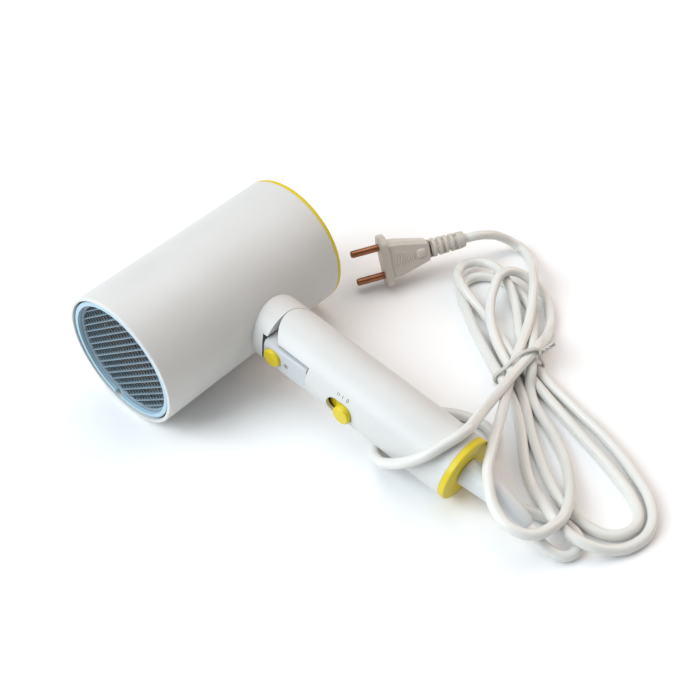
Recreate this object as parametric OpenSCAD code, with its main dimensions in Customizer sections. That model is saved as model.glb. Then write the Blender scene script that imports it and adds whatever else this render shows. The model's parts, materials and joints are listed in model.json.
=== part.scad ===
// Folding hair dryer, lying on its side, with its mains lead tied in a loose bundle.
// The dryer is drawn upright to itself: the barrel lies along X and the handle points
// along -Y. lie_down() then rolls it about the barrel until the handle's end rests on
// the ground, z = 0. A place along the handle is its reach from the barrel's axis.

/* [Barrel] */
// Outer diameter of the barrel
barrel_d = 85; // [84:0.5:86]
// Length of the barrel, with the rear ring
barrel_len = 141; // [139:1:145]
// Wall of the barrel shell
barrel_wall = 2.2; // [2:0.1:2.4]
// Width of the coloured ring at the air inlet
rear_ring_w = 2.8; // [2:0.1:3.2]
// Number of bars in the outlet grille
grille_bars = 17; // [13:2:17]

/* [Handle] */
// Outer diameter of the handle and its neck
handle_d = 39; // [38.6:0.2:39.4]
// Distance from the barrel's axis to the handle's end
handle_reach = 187; // [185:1:190]
// Distance of the handle's axis behind the middle of the barrel
handle_x = 12.5; // [10:0.5:14]
// Wall of the handle shell
handle_wall = 2.2; // [2:0.1:2.4]
// Thickness of the coloured end cap's rim
end_cap_t = 4; // [3:0.5:5]

/* [Fold hinge] */
// Distance from the barrel's axis to the fold hinge
pivot_reach = 71.5; // [71.5:0.5:73]
// Diameter of the hinge pin
pin_d = 4; // [3.6:0.2:4.4]
// Width of the central lug of the handle
lug_w = 18.4; // [18:0.2:18.6]

/* [Controls] */
// Diameter of the cool air button
cool_d = 12; // [11:0.5:12.5]
// How far the cool air button goes in
cool_travel = 1.5; // [1:0.1:1.5]
// Diameter of the power slider's knob
knob_d = 11.8; // [10:0.2:12]
// Distance between two settings of the power slider
knob_step = 3.4; // [3:0.1:3.6]

/* [Mains lead] */
// Diameter of the lead
lead_d = 6.2; // [5.8:0.1:6.4]
// Diameter of a plug pin
plug_pin_d = 4.8; // [4:0.1:4.8]
// Distance between the plug pins
plug_pitch = 19; // [18.6:0.1:19]
// Length of a plug pin
plug_pin_len = 19; // [18:0.5:20]

/* [Hidden] */
$fn = 72;

barrel_r = barrel_d / 2;
bore_r = barrel_r - barrel_wall;
front_x = -barrel_len / 2;
rear_x = barrel_len / 2;
handle_r = handle_d / 2;
inner_r = handle_r - handle_wall;
edge_r = 1;                     // rounding of the outer edges
gap = 0.3;                      // running gap between moving pieces
snug = 0.05;                    // gap between pieces fixed to each other

// The roll that lays the rounded edge of the end cap on the ground.
tip = [handle_reach - edge_r, handle_r - edge_r];
roll = asin((barrel_r - edge_r) / norm(tip)) - atan2(tip[1], tip[0]);
// The handle's end reaches this far in -Y, and the barrel's wall in +Y: the origin is midway.
far_y = tip[0] * cos(roll) + tip[1] * sin(roll) + edge_r;
axis_y = (far_y - barrel_r) / 2;

// Fold hinge: a central lug between two cheeks, with a steel plate in each slot.
lug_z = lug_w / 2;
plate_t = 1.2;
slot_z = lug_z + plate_t + 2 * gap;           // where the cheeks start
lug_top = pivot_reach - handle_r - 0.6;       // reach of the lug's upper end
sweep_r = norm([pivot_reach - lug_top, handle_r]) + gap;
neck_end = pivot_reach - handle_r - gap;
slot_r = 8.4;                                 // half the width of the slots' lower end
panel_end = pivot_reach + 12.5;
panel_top_x = -18.6;
panel_end_x = -17.4;

// Controls
cool_reach = 58.5;
knob_reach = 114.4;
knob_travel = 2 * knob_step;
knob_top = handle_r + 2.8;

// Air path
grille_x = front_x + 3;
grille_r = 34.6;
ring_r = 39.2;
ring_in_r = 36.6;
grille_pitch = 2 * grille_r / grille_bars;
fan_x = 49;
fan_len = 13;
fan_r = 30;
duct_r = fan_r + 0.8;

// ---------------------------------------------------------------- placing

module lie_down() translate([0, axis_y, barrel_r]) rotate([roll, 0, 0]) children();

// Children stand on their z axis; here it lies along the barrel, from x on.
module along_barrel(x = 0) lie_down() translate([x, 0, 0]) rotate([0, 90, 0]) children();

// Here the children's z axis runs down the handle, from a reach on.
module down_handle(reach = 0)
    lie_down() translate([handle_x, -reach, 0]) rotate([90, 0, 0]) children();

// Here the children's z axis is the fold hinge's, and y points to the barrel.
module at_pivot() lie_down() translate([handle_x, -pivot_reach, 0]) children();

// Here the children's z axis comes out of the handle's outlet side, at a reach.
module out_of_handle(reach, x = 0)
    lie_down() translate([handle_x + x, -reach, 0]) rotate([0, -90, 0]) children();

module tube(r_out, r_in, len) difference() {
    cylinder(r = r_out, h = len);
    translate([0, 0, -1]) cylinder(r = r_in, h = len + 2);
}

// A ring with rounded outer corners at its near end.
module rounded_tube(r_out, r_in, len, round_r) rotate_extrude() union() {
    translate([r_in, 0]) square([r_out - r_in - round_r, len]);
    translate([r_in, round_r]) square([r_out - r_in, len - round_r]);
    translate([r_out - round_r, round_r]) circle(r = round_r, $fn = 24);
}

module screw(len, shank_r, head_r) {
    cylinder(r = shank_r, h = len);
    difference() {
        translate([0, 0, len]) cylinder(r = head_r, h = 1.4);
        for (turn = [0, 90])
            translate([0, 0, len + 1.1]) rotate(turn)
                cube([0.5, head_r * 1.4, 1.2], center = true);
    }
}

// ---------------------------------------------------------------- barrel

module barrel_shell() color("whitesmoke") difference() {
    union() {
        along_barrel(front_x)
            rounded_tube(barrel_r, bore_r, barrel_len - rear_ring_w, 0.9);
        // Bosses for the fan housing's screws
        for (turn = [60, 180, 300])
            along_barrel(50) rotate(turn) translate([bore_r - 3.8, 0, 0]) cylinder(r = 4, h = 8.9);
    }
    for (turn = [60, 180, 300])
        along_barrel(51) rotate(turn) translate([36, 0, 0]) cylinder(r = 1.22, h = 9);
    // The leads pass through here into the neck.
    down_handle(30) cylinder(r = 9, h = 20);
    for (side = [-1, 1])
        down_handle(30) translate([0, side * 13.2, 0]) cylinder(r = 1.5, h = 20);
}

module front_ring() color("aliceblue") difference() {
    along_barrel(front_x + 0.8) {
        rounded_tube(ring_r, ring_in_r, 12, 0.6);
        translate([0, 0, 9.5]) tube(bore_r - snug, ring_in_r, 2.5);
    }
    // Seat for the grille behind the lip that a nozzle slips into
    along_barrel(grille_x) cylinder(r = ring_in_r + 0.5, h = 20);
    // Key slot for a nozzle, near the lowest point of the rim
    lie_down() rotate([10, 0, 0])
        translate([front_x + 1, 0, -(ring_r + ring_in_r) / 2]) cube([5, 5, 4], center = true);
}

module outlet_grille() color("dimgray") along_barrel(grille_x) {
    tube(ring_in_r + 0.5 - snug, grille_r, 4);
    rotate(-45) intersection() {
        cylinder(r = grille_r + 0.5, h = 4);
        union() {
            for (i = [0 : grille_bars - 1])
                translate([(i + 0.5) * grille_pitch - grille_r, 0, 1.5])
                    cube([0.9, 80, 3], center = true);
            for (i = [-2 : 2])
                translate([0, i * 12, 2.3]) cube([80, 0.9, 1.4], center = true);
        }
    }
}

module rear_ring() color("goldenrod") along_barrel(rear_x) mirror([0, 0, 1]) {
    rounded_tube(barrel_r, 38.4, rear_ring_w - snug, 0.9);
    translate([0, 0, rear_ring_w - 1]) tube(bore_r - snug, 38.4, 5);
}

module inlet_cover() color("whitesmoke") along_barrel(rear_x - 2.2) difference() {
    cylinder(r = 38.3, h = 1.6);
    for (row = [1 : 5]) difference() {
        translate([0, 0, -1]) tube(7 * row + 2.2, 7 * row - 2.2, 4);
        for (turn = [0 : 60 : 120])
            rotate(turn + 30 * (row % 2)) cube([90, 2.2, 10], center = true);
    }
}

module dust_filter() color("silver") along_barrel(rear_x - 4.2) {
    cylinder(r = 35.6, h = 0.6);
    tube(38.2, 35.6, 1.4);
}

module fan_housing() color("dimgray") along_barrel(0) difference() {
    union() {
        translate([0, 0, 14]) tube(duct_r + 1.4, duct_r, fan_x + fan_len - 12);
        translate([0, 0, 59]) tube(bore_r - snug, duct_r + 0.7, 3);
        translate([0, 0, 15.8]) tube(bore_r - snug, duct_r + 0.7, 2);
        translate([0, 0, 18]) tube(15.6, 14 + snug, 22);
        for (turn = [30 : 60 : 330])
            rotate(turn) translate([15, -0.6, 19]) cube([duct_r - 14.3, 1.2, 20]);
    }
    for (turn = [60, 180, 300])
        rotate(turn) translate([36, 0, 10]) cylinder(r = 1.25, h = 60);
}

module motor() color("lightslategray") along_barrel(9) difference() {
    union() {
        cylinder(r = 14, h = 31);
        translate([0, 0, 31]) cylinder(r = 4, h = 2);
        translate([0, 0, -2]) cylinder(r = 4, h = 2);
    }
    translate([0, 0, 20]) cylinder(r = 1.2, h = 20);
}

module rectifier_board() color("darkolivegreen") along_barrel(5.4) difference() {
    cylinder(r = 13, h = 1.5);
    translate([0, 0, -1]) cylinder(r = 4.2, h = 4);
}

module motor_shaft() color("gainsboro") along_barrel(30)
    cylinder(r = 1.15, h = fan_x + fan_len - 30);

module impeller() color("black") along_barrel(fan_x) difference() {
    union() {
        cylinder(r = 12, h = fan_len - 1);
        intersection() {
            cylinder(r = fan_r, h = fan_len);
            for (turn = [0 : 40 : 320])
                rotate(turn) translate([20, 0, fan_len / 2]) rotate([38, 0, 0])
                    cube([24, 1.3, fan_len * 1.1], center = true);
        }
    }
    translate([0, 0, -1]) cylinder(r = 1.15 + snug, h = fan_len + 2);
    translate([0, 0, -1]) tube(10.6, 3, 9);
}

module mica_frame() color("tan") along_barrel(-54) difference() {
    for (turn = [0, 90]) rotate(turn) translate([-28, -0.5, 0]) cube([56, 1, 54]);
    for (turn = [0 : 90 : 270], z = [6 : 6 : 48])
        rotate(turn) translate([24, -1, z]) cube([6, 2, 1.6]);
}

module mica_sleeve() color("burlywood") along_barrel(-57) tube(29.6, 28.8, 64);

module heater_coils() color("silver") along_barrel(-54)
    for (z = [6 : 6 : 48]) translate([0, 0, z + 0.8])
        rotate_extrude() translate([25, 0]) circle(r = 0.7, $fn = 16);

module thermostat() color("gainsboro") along_barrel(-46)
    translate([0.6, 4, 0]) cube([4, 9, 20]);

module thermal_fuse() color("gold") along_barrel(-40)
    translate([3, -9, 0]) cylinder(r = 1.6, h = 11);

// Three leads from the heater and motor, round the sleeve and out through the wall
module lead_bundle() color("firebrick") for (i = [-1 : 1]) {
    down_handle(34.6) translate([0, 2.6 * i, 0]) cylinder(r = 1.1, h = 8.4);
    down_handle(34.6) translate([0, 2.6 * i, 0]) sphere(r = 1.1, $fn = 24);
    down_handle(34.6) translate([0, 2.6 * i, 0]) rotate([0, -90, 0]) cylinder(r = 1.1, h = 9);
}

module housing_screws() color("gray") for (turn = [60, 180, 300])
    along_barrel(0) rotate(turn) translate([36, 0, 54.6]) screw(7.5, 1.2, 2.4);

module neck() color("whitesmoke") difference() {
    down_handle(36) cylinder(r = handle_r, h = pivot_reach - 36);
    along_barrel(-50) cylinder(r = barrel_r + snug, h = 160);
    // The outlet half ends square, to let the handle fold against it.
    at_pivot() translate([-40, -40, -40])
        cube([40, pivot_reach - neck_end + 40, 80]);
    at_pivot() cylinder(r = handle_r + gap, h = 60, center = true);
    // Room for the lug and its steel plates to turn
    at_pivot() cylinder(r = sweep_r, h = 2 * (lug_z + plate_t + 0.35), center = true);
    down_handle(30) cylinder(r = 8, h = 20);
    for (side = [-1, 1])
        down_handle(38) translate([0, side * 13.2, 0]) cylinder(r = 1.2, h = 10);
    for (side = [-1, 1], x = [-7, 7])
        at_pivot() translate([x, 24.2, side * (lug_z + 4)]) cylinder(r = 0.9, h = 7, center = true);
}

// Screws through the barrel's wall into the neck
module neck_screws() color("gray") for (side = [-1, 1])
    lie_down() translate([handle_x, -37, side * 13.2]) rotate([90, 0, 0])
        mirror([0, 0, 1]) translate([0, 0, -9.5]) screw(9.5, 1.15, 2.6);

module hinge_plate() difference() {
    linear_extrude(plate_t) union() {
        polygon([[-11, 25.8], [11, 25.8], [11, 21.5], [8, 19.6], [8, 0],
            [-8, 0], [-8, 19.6], [-11, 21.5]]);
        circle(r = 8);
    }
    translate([0, 0, -1]) cylinder(r = pin_d / 2 + snug, h = plate_t + 2);
    for (x = [-7, 7]) translate([x, 24.2, -1]) cylinder(r = 1.1, h = plate_t + 2);
}

module hinge_plates() color("silver") for (side = [-1, 1]) at_pivot()
    translate([0, 0, side * (lug_z + gap + plate_t / 2) - plate_t / 2]) hinge_plate();

module hinge_screws() color("gray") for (side = [-1, 1], x = [-7, 7]) at_pivot()
    translate([x, 24.2, side * (lug_z + gap)]) mirror([0, 0, side > 0 ? 0 : 1])
        cylinder(r = 0.88, h = 5.2);

// ---------------------------------------------------------------- handle

module hinge_pin() color("gainsboro") at_pivot()
    cylinder(r = pin_d / 2, h = 2 * handle_r - 8, center = true);

module knob_slot(r, x0, depth) for (part = [0, 1]) {
    out_of_handle(knob_reach - part * knob_travel, x0) cylinder(r = r, h = depth);
    if (part == 0) lie_down()
        translate([handle_x + x0 - depth, -knob_reach, -r]) cube([depth, knob_travel, 2 * r]);
}

module handle_shell() color("whitesmoke") difference() {
    union() {
        down_handle(pivot_reach)
            cylinder(r = handle_r, h = handle_reach - end_cap_t - pivot_reach);
        intersection() {
            down_handle(40) cylinder(r = handle_r, h = 60);
            at_pivot() cylinder(r = handle_r, h = 60, center = true);
        }
    }
    down_handle(pivot_reach + 13) cylinder(r = inner_r, h = 200);
    // The lug fills the middle of the upper end.
    at_pivot() translate([-30, -13.1, -slot_z]) cube([60, 60, 2 * slot_z]);
    down_handle(pivot_reach + 12.9) cylinder(r = 16, h = 2);
    at_pivot() cylinder(r = pin_d / 2 + 0.02, h = 2 * handle_r - 7.8, center = true);
    knob_slot(knob_d / 2 + gap, -inner_r + 2.5, 8);
}

module hinge_lug() color("whitesmoke") difference() {
    union() {
        intersection() {
            down_handle(lug_top) cylinder(r = handle_r, h = panel_end - lug_top + 2);
            at_pivot() translate([-12, -13.05, -lug_z]) cube([60, 60, 2 * lug_z]);
        }
        intersection() {
            down_handle(lug_top) cylinder(r = handle_r, h = panel_end - lug_top + 2);
            at_pivot() translate([-12, -13.05, -slot_z + snug])
                cube([60, 4.45, 2 * slot_z - 2 * snug]);
        }
        down_handle(panel_end + 0.5) tube(inner_r - snug, 11, 8.5);
    }
    at_pivot() cylinder(r = pin_d / 2 + 0.02, h = 60, center = true);
    // Wire way past the pin
    down_handle(30) translate([9, 0, 0]) cylinder(r = 3.4, h = 80);
    // Recess behind the cool air button
    out_of_handle(cool_reach, -12.5) mirror([0, 0, 1]) translate([0, 0, -2]) cylinder(r = 4.4, h = 9);
}

module panel_blank() intersection() {
    down_handle(lug_top) cylinder(r = handle_r, h = panel_end - lug_top - gap);
    at_pivot() linear_extrude(lug_w - 0.2, center = true) polygon([
        [panel_top_x, pivot_reach - lug_top],
        [panel_end_x, pivot_reach - panel_end],
        [-12.05, pivot_reach - panel_end],
        [-12.05, pivot_reach - lug_top]]);
}

module button_panel() color("aliceblue") difference() {
    panel_blank();
    out_of_handle(cool_reach, -30) mirror([0, 0, 1]) cylinder(r = cool_d / 2 + 0.1, h = 30);
    out_of_handle(cool_reach, -15.6) mirror([0, 0, 1]) cylinder(r = cool_d / 2 + 1.2, h = 10);
}

module cool_button() color("goldenrod") out_of_handle(cool_reach, 0) {
    translate([0, 0, 14.2]) cylinder(r = cool_d / 2, h = 5.7);
    translate([0, 0, 19.9]) cylinder(r1 = cool_d / 2, r2 = cool_d / 2 - 0.9, h = 0.9);
    translate([0, 0, 14.2]) cylinder(r = cool_d / 2 + 0.9, h = 1.1);
}

module cool_spring() color("silver") out_of_handle(cool_reach, 0)
    for (i = [0 : 4]) translate([0, 0, 8.4 + i * 1.28])
        rotate_extrude() translate([3, 0]) circle(r = 0.35, $fn = 16);

module switch_knob() color("goldenrod") union() {
    out_of_handle(knob_reach, -15) cylinder(r = knob_d / 2, h = knob_top - 15.6);
    out_of_handle(knob_reach, -knob_top + 0.6) cylinder(r1 = knob_d / 2, r2 = knob_d / 2 - 0.6, h = 0.6);
    lie_down() translate([handle_x - 15.2, -knob_reach - 6.5, -7]) cube([1.2, 13 + knob_travel, 14]);
    lie_down() translate([handle_x - 14.1, -knob_reach - 1, -1.5]) cube([3.6, 2, 3]);
}

module switch_body() color("black") difference() {
    lie_down() translate([handle_x - 12, -knob_reach - 8, -6]) cube([8, 16 + knob_travel, 12]);
    lie_down() translate([handle_x - 12.1, -knob_reach - 1 - gap, -1.5 - gap])
        cube([2, 2 + knob_travel + 2 * gap, 3 + 2 * gap]);
}

module control_board() color("seagreen") difference() {
    lie_down() translate([handle_x - 3.95, -158, -12]) cube([1.6, 60, 24]);
    for (reach = [101, 154])
        out_of_handle(reach, 0) translate([9, 0, 0]) cylinder(r = 1.3, h = 6);
}

module board_carrier() color("lightgray") difference() {
    union() {
        lie_down() translate([handle_x - 2.3, -158, -16]) cube([2, 62, 32]);
        lie_down() translate([handle_x - 0.4, -158, -1]) cube([inner_r, 62, 2]);
    }
    for (reach = [101, 154])
        out_of_handle(reach, 1) translate([9, 0, -4]) cylinder(r = 1, h = 10);
}

module board_screws() color("gray") for (reach = [101, 154])
    out_of_handle(reach, 0) translate([9, 0, -0.2]) screw(4.2, 0.98, 2);

module capacitor() color("khaki")
    lie_down() translate([handle_x - 12, -152, -6]) cube([8, 18, 12]);

module supply_lead() color("white") down_handle(158.5) cylinder(r = 2.9, h = 17.4);

module cord_clamp() color("lightgray") difference() {
    union() {
        down_handle(164) translate([-5, -11, 0]) cube([8.6, 22, 9]);
        down_handle(164) intersection() {
            cylinder(r = inner_r - snug, h = 9);
            translate([3.6, -14, 0]) cube([20, 28, 9]);
        }
    }
    down_handle(160) cylinder(r = 2.9 + snug, h = 20);
    for (side = [-1, 1])
        down_handle(168.5) translate([-10, side * 7.4, 0]) rotate([0, 90, 0]) cylinder(r = 1.1, h = 20);
}

module clamp_screws() color("gray") for (side = [-1, 1])
    down_handle(168.5) translate([5, side * 7.4, 0]) rotate([0, -90, 0]) screw(10, 1.08, 2);

module end_cap() color("goldenrod") difference() {
    union() {
        down_handle(handle_reach) mirror([0, 0, 1])
            rounded_tube(handle_r, 7.2, end_cap_t - snug, edge_r);
        down_handle(handle_reach - end_cap_t - 5) tube(inner_r - snug, inner_r - 1.8, 6);
    }
}

// ---------------------------------------------------------------- mains lead

// Strain relief: its middle line, from inside the end cap to the lead, and its radius there
relief_pts = [for (s = [176, handle_reach + 0.05, handle_reach + 0.8, 198])
        [handle_x, axis_y - s * cos(roll), barrel_r - s * sin(roll)],
    [12.1, -134, 17], [11.1, -147, 14], [10, -157, 11]];
relief_r = [7.1, 7.1, 8.2, 7.6, 6.9, 5.8, 4.6];

// Plug: the middle of its flange's front face, the way the pins point, and how it lies
plug_at = [113.6, 34.8, 17.4];
plug_heading = 148;
plug_tilt = 5;
plug_roll = -152;
flange_t = 5;
plug_len = 57;

// The lead's own route over the ground, from the strain relief to the plug
lead_route = [
    [10, -157, 11], [8, -165, 8.6], [8.5, -172, 5.4], [11.5, -179, 3.6], [18.5, -182, 3.1],
    [26, -179, 3.1], [29, -172, 3.1], [28, -163, 3.1], [25, -154, 3.1], [22, -141, 3.1],
    [21, -128, 3.1], [26, -118, 3.1], [35, -111, 3.1], [46, -107, 3.1],
    [54, -100, 3.1], [56, -90, 3.1], [48, -69, 3.1], [39, -61, 3.1], [26, -56, 3.1], [12, -54, 3.1],
    [0, -59, 4.5], [-8, -68, 11], [-12, -78, 19.5], [-8, -97, 36.5], [4, -104, 42.5], [17, -107, 43.5],
    [30, -104, 38], [48, -98, 28], [90, -89, 17], [118, -86, 15.5], [145, -77, 3.6], [157, -70, 3.1],
    [167, -60, 3.6], [171, -50, 5.5], [171, -42, 8.4], [165, -34, 14], [155, -31, 16], [144, -34, 14],
    [131, -41, 10.5], [117, -54, 7.5], [92, -93, 4.4], [62, -126, 3.1], [41, -157, 3.1], [36, -180, 3.1],
    [39, -190, 3.1], [47, -196, 3.1], [57, -196, 3.1], [66, -188, 3.1], [75, -171, 3.1], [89, -133, 3.1],
    [103, -94, 4.4], [111, -75, 4.4], [130, -37, 4], [138, -12, 9.3], [146, -4, 8.8], [156, -3, 8.5],
    [164, -10, 8.5], [165, -21, 9.3], [158, -35, 9.3], [151, -46, 6], [124, -72, 4.4], [111, -94, 4.4],
    [102, -124, 3.1],
    [94, -152, 3.1], [83, -177, 3.1], [69, -197, 3.1], [56, -204, 3.1], [42, -203, 3.1], [30, -196, 5],
    [23, -187, 8], [21, -176, 9.5], [24, -163, 9.3], [31, -152, 6.5], [36, -144, 3.4], [45, -132, 3.1],
    [77, -102, 3.4],
    [89, -84, 4.4], [100, -66, 3.1], [125, -28, 3.1], [136, -15, 3.1], [147, -10, 3.1], [158, -15, 3.1],
    [163, -28, 3.1], [161, -44, 3.1], [151, -60, 3.1], [132, -74, 6], [104, -92, 10.6], [94, -99, 5],
    [73, -133, 3.1], [62, -147, 3.5], [29, -167, 12.5], [14, -168, 16.5], [4, -165, 18], [-2, -158, 20],
    [-2, -146, 22], [12, -127, 28], [22, -121, 29], [51, -107, 25], [87, -88, 11], [104, -80, 10.4],
    [142, -64, 9.2], [169, -47, 14], [190, -31, 5], [197, -21, 3.3], [196, -12, 6], [189, -6, 12.5],
    [179, -4, 19.5], [169.5, -0.2, 22.8], [161.8, 4.7, 22.4]];

// Frame across a path at point i: two unit vectors square to its run
function unit(v) = v / norm(v);
function run(p, i) = unit(p[min(i + 1, len(p) - 1)] - p[max(i - 1, 0)]);
function side_of(p, i) = unit(cross(run(p, i), abs(run(p, i)[2]) > 0.9 ? [1, 0, 0] : [0, 0, 1]));
function up_of(p, i) = cross(side_of(p, i), run(p, i));

module sweep(p, r, n) {
    rings = [for (i = [0 : len(p) - 1], k = [0 : n - 1])
        p[i] + r[i] * (cos(360 * (k + 0.5) / n) * side_of(p, i)
            + sin(360 * (k + 0.5) / n) * up_of(p, i))];
    last = len(p) - 1;
    polyhedron(rings, concat(
        [[for (k = [0 : n - 1]) k]],
        [for (i = [0 : last - 1], k = [0 : n - 1])
            [i * n + k, (i + 1) * n + k, (i + 1) * n + (k + 1) % n, i * n + (k + 1) % n]],
        [[for (k = [n - 1 : -1 : 0]) last * n + k]]), convexity = 10);
}

module strain_relief() color("whitesmoke") sweep(relief_pts, relief_r, 12);

module cord() color("white")
    sweep(lead_route, [for (p = lead_route) lead_d / 2], 8);

// A flat wire tie round the whole hank, its ends twisted together
module cord_tie() color("ivory") translate([103, -85, 0]) rotate([0, 0, -30]) {
    rotate([90, 0, 0]) linear_extrude(1.8, center = true) difference() {
        polygon([[-15, 0.05], [13, 0.05], [15.5, 2.6], [15.5, 7.6], [12.5, 13], [11.8, 19.4],
            [8.4, 22], [0.4, 22], [-3.6, 19.6], [-7.4, 16], [-10, 12.6], [-15.2, 9.4],
            [-17.5, 7], [-17.5, 2.2]]);
        polygon([[-14.6, 1.1], [12.5, 1.1], [14.5, 3], [14.5, 7.3], [11.5, 12.7], [10.8, 18.9],
            [8, 21], [0.8, 21], [-3, 18.9], [-6.7, 15.2], [-9.4, 11.8], [-14.7, 8.5],
            [-16.5, 6.6], [-16.5, 2.7]]);
    }
    translate([11.9, 0, 17.6]) rotate([0, 62, 0]) cylinder(r = 0.9, h = 9);
}

// Here the children's z axis runs along the plug to its pins' tips, and x is the pins' line.
module at_plug(z = 0) translate(plug_at) rotate([0, plug_tilt, plug_heading])
    rotate([plug_roll, 0, 0]) rotate([0, 90, 0]) translate([0, 0, z]) children();

module plug_body() color("ivory") difference() {
    union() {
        at_plug(-flange_t) linear_extrude(flange_t)
            polygon([[-17, -4.6], [-12.2, -9], [12.2, -9], [17, -4.6],
                [17, 4.6], [12.2, 9], [-12.2, 9], [-17, 4.6]]);
        // Grip, tapering both ways to the lead
        at_plug(0) intersection() {
            rotate([90, 0, 0]) linear_extrude(30, center = true)
                polygon([[-12.5, -3], [12.5, -3], [11.5, -12], [6.8, -32], [-6.8, -32], [-11.5, -12]]);
            rotate([90, 0, 90]) linear_extrude(40, center = true)
                polygon([[-7.2, -3], [7.2, -3], [7.4, -10], [5.8, -32], [-5.8, -32], [-7.4, -10]]);
        }
        // Ribs on both broad faces, and a thumb stop
        for (side = [-1, 1], i = [0 : 5])
            at_plug(-9.5 - 2.2 * i) translate([0, side * (7.2 - i * 0.17), 0])
                cube([13 - 0.9 * i, 1.2, 1], center = true);
        at_plug(-26) translate([0, -6, 0]) rotate([90, 0, 0]) cylinder(r = 2.6, h = 1.4);
    }
    for (side = [-1, 1])
        at_plug(-8.1) translate([side * plug_pitch / 2, 0, 0]) cylinder(d = plug_pin_d - 0.56, h = 40);
}

// Moulded rings round the end of the lead
module plug_relief() color("ivory") at_plug(-plug_len) {
    cylinder(r = 4.6, h = plug_len - 32 - snug);
    cylinder(r1 = 5.2, r2 = 5.8, h = 5);
    for (i = [0 : 3]) translate([0, 0, 8 + i * 4.1]) cylinder(r = 5.9 + 0.12 * i, h = 2.3);
    translate([0, 0, plug_len - 33.4]) cylinder(r = 5.7, h = 1.35);
}

module plug_pins() color("goldenrod") for (side = [-1, 1])
    at_plug(-8) translate([side * plug_pitch / 2, 0, 0]) {
        cylinder(d = plug_pin_d - 0.6, h = 8.1);
        translate([0, 0, 8]) cylinder(d = plug_pin_d, h = plug_pin_len - 1.6);
        translate([0, 0, 8 + plug_pin_len - 1.6])
            cylinder(d1 = plug_pin_d, d2 = plug_pin_d - 1.8, h = 1.6);
    }

barrel_shell();
neck();
front_ring();
outlet_grille();
rear_ring();
inlet_cover();
dust_filter();
fan_housing();
motor();
rectifier_board();
motor_shaft();
impeller();
mica_frame();
mica_sleeve();
heater_coils();
thermostat();
thermal_fuse();
lead_bundle();
housing_screws();
neck_screws();
hinge_plates();
hinge_screws();
hinge_pin();
handle_shell();
hinge_lug();
button_panel();
cool_button();
cool_spring();
switch_knob();
switch_body();
control_board();
board_carrier();
board_screws();
capacitor();
cord_clamp();
clamp_screws();
supply_lead();
end_cap();
strain_relief();
cord();
cord_tie();
plug_body();
plug_relief();
plug_pins();
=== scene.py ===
"""Folding hair dryer: its looks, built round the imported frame. The camera, the floor and the
lights are in metres. Pieces are made in millimetres, and placed() scales them."""
import json
import math

import bmesh
import bpy
from mathutils import Matrix, Vector


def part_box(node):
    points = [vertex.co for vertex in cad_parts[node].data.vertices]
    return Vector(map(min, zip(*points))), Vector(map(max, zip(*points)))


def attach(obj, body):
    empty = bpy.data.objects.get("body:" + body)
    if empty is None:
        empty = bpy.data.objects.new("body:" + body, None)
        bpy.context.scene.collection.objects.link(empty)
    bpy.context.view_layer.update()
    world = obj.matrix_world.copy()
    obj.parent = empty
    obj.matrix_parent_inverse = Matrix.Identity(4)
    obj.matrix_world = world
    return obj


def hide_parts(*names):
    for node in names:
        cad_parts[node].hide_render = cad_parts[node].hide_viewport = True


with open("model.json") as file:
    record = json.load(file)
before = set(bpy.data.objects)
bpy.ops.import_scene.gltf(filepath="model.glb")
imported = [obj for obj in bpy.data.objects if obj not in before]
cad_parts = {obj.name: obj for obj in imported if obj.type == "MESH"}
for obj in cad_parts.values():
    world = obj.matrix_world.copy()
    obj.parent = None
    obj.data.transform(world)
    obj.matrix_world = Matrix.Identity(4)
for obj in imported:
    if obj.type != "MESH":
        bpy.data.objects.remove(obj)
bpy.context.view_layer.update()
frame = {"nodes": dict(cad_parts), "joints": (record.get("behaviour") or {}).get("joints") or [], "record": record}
NODES = frame["nodes"]
MM = 0.001

# ---------------------------------------------------------------- camera

LOOK_AT = Vector((0.0313, -0.0118, 0.030))
LENS_MM = 57.0
SENSOR_MM = 36
CAMERA_DISTANCE = 0.650
CAMERA_AZIMUTH = math.radians(-47.03)
CAMERA_ELEVATION = math.radians(45.88)
CAMERA_ROLL = math.radians(-1.47)


def add_camera():
    """Looks at the dryer from the photograph's angle."""
    data = bpy.data.cameras.new("camera")
    data.sensor_width = SENSOR_MM
    data.lens = LENS_MM
    camera = bpy.data.objects.new("camera", data)
    bpy.context.scene.collection.objects.link(camera)
    back = Vector((math.sin(CAMERA_AZIMUTH) * math.cos(CAMERA_ELEVATION),
                   -math.cos(CAMERA_AZIMUTH) * math.cos(CAMERA_ELEVATION),
                   math.sin(CAMERA_ELEVATION)))
    level = Vector((math.cos(CAMERA_AZIMUTH), math.sin(CAMERA_AZIMUTH), 0))
    right = Matrix.Rotation(CAMERA_ROLL, 3, back) @ level
    up = back.cross(right)
    camera.matrix_world = Matrix.Translation(LOOK_AT + CAMERA_DISTANCE * back) @ Matrix(
        (right, up, back)).transposed().to_4x4()
    bpy.context.scene.camera = camera


add_camera()

# ---------------------------------------------------------------- pieces


def placed(name, bm, matrix, body, material, smooth=35):
    """Makes a piece of a bmesh in millimetres and puts it in the scene, on its body, with its
    material slot's name. It is shaded smooth up to an angle in degrees."""
    bm.transform(Matrix.Scale(MM, 4) @ matrix)
    bmesh.ops.recalc_face_normals(bm, faces=bm.faces)
    mesh = bpy.data.meshes.new(name)
    limit = math.radians(smooth)
    for edge in bm.edges:
        if len(edge.link_faces) == 2:
            edge.smooth = edge.calc_face_angle(0) < limit
    for face in bm.faces:
        face.smooth = True
    bm.to_mesh(mesh)
    bm.free()
    mesh.materials.append(material)
    obj = bpy.data.objects.new(name, mesh)
    bpy.context.scene.collection.objects.link(obj)
    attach(obj, body)
    return obj


# ---------------------------------------------------------------- the CAD's frames, in millimetres

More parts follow.
